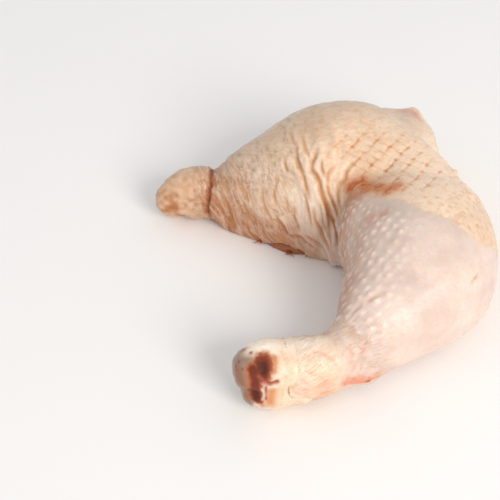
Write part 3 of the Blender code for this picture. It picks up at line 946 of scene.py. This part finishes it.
def raw_skin():
    material, add = start_material("raw_chicken_skin")
    wrinkles, highlight_streaks = running_wrinkles(add, 6.0, 1.5, 0.034), running_wrinkles(add, 7.0, 2.6, 0.070)
    lines = quilting_lines(add)
    thick = lay(add, linear(THICK_SKIN), THICK_SKIN_LIGHT, grain(add, 14.0, 2.0, (0.35, 0.70)))
    thick = lay(add, thick, FAT_FLECK, grain(add, 2.4, 4.0, (0.48, 0.72)), 0.50)
    thick = lay(add, thick, YELLOW_FAT, "yellow_fat", 0.80)
    thin = lay(add, linear(THIN_SKIN), THIN_SKIN_DEEP, grain(add, 14.0, 2.0, (0.40, 0.64)))
    calm = add("MapRange", i0=share_of(add, "thin_skin"), i3=0.22, i4=0.08)
    creased = add("Math", 0, {"operation": "MULTIPLY_ADD"}, i0=share_of(add, "loose_skin"), i1=0.45, i2=calm)
    colour = thick
    # Among these tints, the darker ones in wrinkle grooves, folds and the tail crease are painted shade, the
    # rusty one is partly painted shade, and the pale crest tints are painted highlight.
    for tint, *factors in (
            (thin, "thin_skin"), (SHANK_SKIN, "shank"), (GREY_SKIN_AND_SHADE, "grey", 0.6),
            (FAT_FLECK, grain(add, 0.9, 3.0, (0.50, 0.75)), 0.20), (FAT_FLECK, wrinkles, creased),
            (DARK_PORE, "pits", 0.42), (RUSTY_FAT_AND_SHADE, "rust"), (WRINKLE_SHADE, wrinkles, "rust", "loose_skin", 0.6),
            (CREST_HIGHLIGHT, highlight_streaks, "rust", "loose_skin", 0.22), (CREST_HIGHLIGHT, "crests", 0.6),
            (FOLD_SHADE, "folds", 0.9), (TAIL_CREASE_SHADE, "tail_crease"), (QUILT_LINE, lines, 0.72),
            (BLUSH_PINK, "blush"), (FOLLICLE, "follicles"),
            (OLD_BLOOD, "blood", grain(add, 1.3, 4.0, (0.30, 0.55)))):
        colour = lay(add, colour, tint, *factors)
    damp = grain(add, 5.0, 3.0, (0.3, 0.7), SKIN_ROUGHNESS)
    crinkle = add("Bump", Strength=0.8, Distance=SKIN_BUMP_DEPTH * MM, Height=grain(add, SKIN_GRAIN, 4.0))
    wrinkled = add("Bump", 0, {"invert": True}, Strength=0.9, Distance=0.20 * MM,
                   Height=share_of(add, wrinkles, creased), Normal=crinkle)
    quilted = add("Bump", 0, {"invert": True}, Strength=0.4, Distance=0.10 * MM, Height=lines, Normal=wrinkled)
    film = add("Bump", Strength=0.7, Distance=0.22 * MM, Height=grain(add, 1.9, 4.0))
    wet(add, colour, damp, quilted, 0.40, (1.0, 0.42, 0.22), SKIN_GLOW_DEPTH, 0.40, 0.20, Coat_Normal=film)
    return material


skin.data.materials.append(raw_skin())
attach(skin, "root")
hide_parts("leg_skin")
print("skin dressed")

# %% [markdown]
# ## The joint end
# The foot was cut off through the hock joint, so the end of the shank bone shows: two rollers capped in
# whitish grey cartilage with a groove between them. Dark blood and marrow fill the hollows, and thin
# peach tissue runs back from the rollers to the skin. The blots are placed by the picture, like the
# stains on the skin, and the hollows under them are pressed in.

# %% Joint end: shape and tints
RUSTY_POOLS = ((((263, 361), (264, 368), (262, 375)), 4.4),
               (((252, 370), (254, 378), (255, 386), (255, 395)), 3.1), (((257, 384), (259, 401)), 2.0))
BLOOD_POOLS = ((((262, 363), (263, 369), (261, 375)), 3.2),
               (((252, 369), (255, 377), (255, 386), (255, 396)), 1.9), (((254, 392), (256, 398)), 2.6))
DARK_CENTRES = ((((262, 366), (263, 371)), 2.0), (((255, 394), (255, 397)), 1.6))
ROLLER_GROOVE = ((259, 377), (264, 381), (270, 384), (277, 382))
ROLLER_SPOTS = ((((270, 384),), 0.8), (((277, 382),), 0.9), (((266, 387), (266, 399)), 0.5), (((261, 386),), 0.7))
WHITE_RIDGE = ((262, 389), (264, 394), (262, 400))
WHITE_STRIP = ((268, 387), (272, 386), (277, 387))
TAN_PATCH = ((((272, 391), (270, 402)), 2.6), (((275, 358), (275, 371)), 1.2), (((262, 405),), 1.2))
RIM_LINE = ((281, 352), (286, 361), (286, 377), (283, 390), (281, 405))
# the left edge of the joint end: a reddish-brown bruise lower down, and painted shade at the top-left edge
LEFT_BRUISE_AND_SHADE = ((((239, 376), (243, 385), (248, 396)), 2.6), (((237, 370),), 1.4), (((243, 350),), 1.6))
CARTILAGE_SPOTS = ((((239, 362),), 0.6), (((242, 369),), 0.5), (((251, 353),), 0.8), (((236, 366),), 0.5))

bone_tree = tree_of(bone)
bone_points, bone_normals = surface_of(bone)


def blots(marks):
    """The strongest of several dabs, each a path of pixels and a half width in millimetres."""
    return strongest(*(dab(bone_points, path_on(bone_tree, pixels), size) for pixels, size in marks))


bone_rise = 0.20 * rough_noise(bone_points, 3.0, 81) + 0.07 * rough_noise(bone_points, 1.2, 82)
pools, dark, rusty = blots(BLOOD_POOLS), blots(DARK_CENTRES), blots(RUSTY_POOLS)
groove = blots(((ROLLER_GROOVE, 0.8),))
ridge = np.maximum(0.65 * blots(((WHITE_RIDGE, 0.45),)), 0.50 * blots(((WHITE_STRIP, 0.5),)))
tan = np.maximum(blots(TAN_PATCH), 0.45 * blots(((RIM_LINE, 0.45),)))
bruise, spots = 0.85 * blots(LEFT_BRUISE_AND_SHADE), blots(CARTILAGE_SPOTS + ROLLER_SPOTS)
bone_along = (bone_points - RIM_MIDDLE) @ RIM_AXIS
rim_fade = ramp(0.3, 3.0, bone_along)
bone_rise = (bone_rise + 0.6 * ridge - 0.8 * groove - 0.4 * pools - 0.3 * dark) * rim_fade
bone_across, bone_down = picture_places(bone_points)
peach = ramp(6.5, 2.5, bone_along + 0.8 * soft_noise(bone_points, 3.0, 83))
# painted highlight: the top of the joint end is painted paler, standing in for light on it
pale_top = ramp(360, 347, bone_down) * ramp(236, 252, bone_across)
pale_top *= 0.60 + 0.40 * ramp(1.0, 6.0, bone_along)
peach = np.maximum(peach, pale_top) * (1 - 0.9 * pools)
grey_cap = ramp(256, 250, bone_across) * (1 - peach)
move_points(bone, bone_points + bone_normals * bone_rise[:, None])
layers = dict(pools=pools, dark=dark, tan=tan, spots=spots, peach=peach, groove=groove, ridge=ridge,
              rusty=rusty, bruise=bruise, grey_cap=grey_cap, pale_top=pale_top)
for layer_name, values in layers.items():
    paint(bone, layer_name, values)
print("joint end shaped, with", len(layers), "tints")

# %% [markdown]
# Cartilage is a tough white gel: smooth, wet and a little see-through, so it has a stronger inner glow
# and a lower roughness than the skin. Clotted blood is nearly black-red in the middle and rusty at its
# thin rim, so two masks mix it.

# %% Cartilage, clotted blood and tissue of the joint
CARTILAGE = "#dcc3b0"
CARTILAGE_WHITE = "#e9dacb"
CARTILAGE_GREY = "#957c69"
TISSUE_PEACH = "#edd0b6"
TISSUE_HIGHLIGHT = "#fff0e0"
CLOT_RIM = "#b4683f"
CLOT_RED = "#9c4a30"
CLOT = "#76301a"
CLOT_DARK = "#54200e"
BRUISE_AND_SHADE = "#9a6147"
TENDON_TAN = "#cf8d5c"
CARTILAGE_ROUGHNESS = 0.32
CLOT_ROUGHNESS = 0.62


def joint_cartilage():
    material, add = start_material("joint_cartilage_and_clotted_blood")
    colour = lay(add, linear(CARTILAGE), CARTILAGE_WHITE, grain(add, 2.6, 3.0, (0.40, 0.62)))
    for tint, *factors in (
            (CARTILAGE_GREY, "grey_cap", 0.9), (TISSUE_PEACH, "peach"), (TISSUE_HIGHLIGHT, "pale_top"),
            (FAT_FLECK, "peach", grain(add, 1.6, 4.0, (0.46, 0.72)), 0.25), (BRUISE_AND_SHADE, "bruise"),
            (TENDON_TAN, "tan")):
        colour = lay(add, colour, tint, *factors)
    ragged = grain(add, 1.4, 4.0, (0.3, 0.7), (-0.10, 0.10))
    for layer, low, high, tint in (("rusty", 0.25, 0.65, CLOT_RIM), ("rusty", 0.60, 0.90, CLOT_RED),
                                   ("pools", 0.25, 0.70, CLOT), ("dark", 0.20, 0.75, CLOT_DARK)):
        level = add("Math", 0, {"operation": "ADD"}, i0=share_of(add, layer), i1=ragged)
        colour = lay(add, colour, tint, add("MapRange", i0=level, i1=low, i2=high))
    for tint, layer in ((CLOT_RED, "groove"), (CARTILAGE_WHITE, "ridge"), (CLOT_RED, "spots")):
        colour = lay(add, colour, tint, layer)
    uneven = add("Bump", Strength=0.6, Distance=0.12 * MM, Height=grain(add, 0.7, 4.0))
    dull = add("MapRange", i0=share_of(add, "rusty"), i3=CARTILAGE_ROUGHNESS, i4=CLOT_ROUGHNESS)
    wet(add, colour, dull, uneven, 0.25, (1.0, 0.45, 0.25), 0.7, 0.08, 0.25)
    return material


bone.data.materials.append(joint_cartilage())
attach(bone, "root")
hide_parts("shank_bone")
print("joint end dressed")

# %% [markdown]
# ## The strip of bare muscle
# Under the torn edge of the skin a strip of the inner thigh muscle shows. Its colour is painted dark
# brown-red, as painted shade of the strip that lies under the edge. Muscle is bundles of fibres about a
# millimetre across that run with the bone, under a wet silvery film, which gives it soft stripes with a
# dull shine. Noise stretched along the thigh draws the bundles, both as relief and as colour.

# %% Muscle
meat_points, meat_normals = surface_of(meat)
fibre = stretched(meat_points[:, 1] * 0.8 + meat_points[:, 2], meat_points[:, 0], (1.3, 18.0), 91)
meat_rise = (0.18 * fibre + 0.55 * rough_noise(meat_points, 2.6, 92)) * ramp(0.2, 2.0, meat_points[:, 2])
move_points(meat, meat_points + meat_normals * meat_rise[:, None])
paint(meat, "fibre", 0.5 + 0.5 * fibre)

# painted shade: both muscle colours are dark because the strip lies in shade under the edge
SHADED_MUSCLE = "#83492b"
SHADED_MUSCLE_STRIPE = "#a3683f"
MUSCLE_ROUGHNESS = 0.36


def raw_muscle():
    material, add = start_material("raw_thigh_muscle")
    colour = lay(add, linear(SHADED_MUSCLE), SHADED_MUSCLE_STRIPE, "fibre")
    colour = lay(add, colour, OLD_BLOOD, grain(add, 6.0, 3.0, (0.4, 0.7)), 0.5)
    uneven = add("Bump", Strength=0.6, Distance=0.15 * MM, Height=grain(add, 0.8, 4.0))
    wet(add, colour, MUSCLE_ROUGHNESS, uneven, 0.35, (1.0, 0.3, 0.2), 2.0, 0.35, 0.2)
    return material


meat.data.materials.append(raw_muscle())
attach(meat, "root")
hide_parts("thigh_meat")
print("muscle dressed")

# %% [markdown]
# ## Torn shreds
# Where the knife left the thigh, a few dried shreds of flesh stick out under the edge. Each one is a thin
# tapered strand, drawn through spots of the picture that lie just above the table, whose thickness
# wobbles a little along it. They are far too thin for the solids, yet the eye finds them at once against
# the white.

# %% Shreds
SHREDS = (
    # height above the table and root radius in millimetres, then pixels from the root to the tip
    (1.6, 0.50, ((262, 240), (257, 242), (253, 243))),
    (1.4, 0.42, ((262, 243), (258, 241), (255, 244))),
    (1.2, 0.55, ((287, 252), (291, 254), (294, 257))),
    (1.2, 0.45, ((292, 251), (289, 254), (284, 255))),
    (1.2, 0.55, ((312, 250), (308, 254), (305, 258))),
    (1.3, 0.45, ((309, 250), (312, 254), (316, 255))),
)
SIDES = 7


def shred(height, radius, pixels):
    """Rings of points round a strand that thins towards its tip."""
    rays = [picture_ray(pixel) for pixel in pixels]
    spots = [camera.location + ray * ((height * MM - camera.location.z) / ray.z) for ray in rays]
    up = Vector((0, 0, 1))
    side = (spots[-1] - spots[0]).normalized().cross(up).normalized()
    rings = []
    for step in range(2 * len(spots) - 1):
        middle = (spots[step // 2] + spots[(step + 1) // 2]) / 2
        share = step / (2 * len(spots) - 2)
        size = radius * MM * (1.0 - 0.85 * share) * (1.0 + 0.3 * math.sin(5.3 * step + height))
        rings.append([middle + size * (side * math.cos(turn) + up * math.sin(turn))
                      for turn in np.arange(SIDES) * 2 * math.pi / SIDES])
    return rings


strands = bmesh.new()
for height, radius, pixels in SHREDS:
    rings = [[strands.verts.new(spot) for spot in ring] for ring in shred(height, radius, pixels)]
    for ring, after in zip(rings, rings[1:]):
        for i in range(SIDES):
            strands.faces.new((ring[i], ring[(i + 1) % SIDES], after[(i + 1) % SIDES], after[i]))
    strands.faces.new(rings[0][::-1])
    strands.faces.new(rings[-1])
bmesh.ops.recalc_face_normals(strands, faces=strands.faces)
shred_mesh = bpy.data.meshes.new("torn_shreds")
strands.to_mesh(shred_mesh)
strands.free()
shred_mesh.shade_smooth()
shreds = placed("torn_shreds", shred_mesh)
shred_mesh.materials.append(meat.data.materials[0])
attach(shreds, "root")
print(len(SHREDS), "shreds under the edge")

# %% [markdown]
# ## Table and light
# The leg lies on plain white card, so matt that it shows no glints, only a soft shadow. One large soft
# light stands high on the right, in front. The glints on the calf come from there, and the left side of
# the thigh falls into warm shade. A bright even surround keeps the card white without flattening the folds.

# %% Table
TABLE_SIZE = 3.0
table_mesh = bpy.data.meshes.new("white_table")
half = TABLE_SIZE / 2
corners = [(-half, -half, 0), (half, -half, 0), (half, half, 0), (-half, half, 0)]
table_mesh.from_pydata(corners, [], [(0, 1, 2, 3)])
table = placed("white_table", table_mesh)
TABLE_WHITE = "#f9f8f7"
TABLE_WHITEST = "#fbfafa"


def white_table():
    material, add = start_material("matt_white_card")
    shade = lay(add, linear(TABLE_WHITE), TABLE_WHITEST, grain(add, 60.0))
    add("OutputMaterial", i0=add("BsdfPrincipled", Base_Color=shade, Roughness=0.85))
    return material


table_mesh.materials.append(white_table())
print("table laid")

# %% Light
KEY_PLACE = Vector((0.76, -1.20, 0.82))  # metres
KEY_SIZE = 0.67
KEY_WATTS = 17.8
KEY_WHITE = "#fffaf4"
SURROUND_STRENGTH = 0.67

key_data = bpy.data.lights.new("key", "AREA")
key_data.size, key_data.energy, key_data.color = KEY_SIZE, KEY_WATTS, linear(KEY_WHITE)[:3]
key = placed("key", key_data)
key.location = KEY_PLACE
key.rotation_mode = "QUATERNION"
key.rotation_quaternion = (LOOKS_AT - KEY_PLACE).to_track_quat("-Z", "Y")
world = bpy.data.worlds.new("bright_room")
bpy.context.scene.world = world
world.use_nodes = True
surround = world.node_tree.nodes["Background"]
surround.inputs["Color"].default_value = linear("#ffffff")
surround.inputs["Strength"].default_value = SURROUND_STRENGTH
bpy.context.scene.view_settings.view_transform = "Standard"
print("lit")
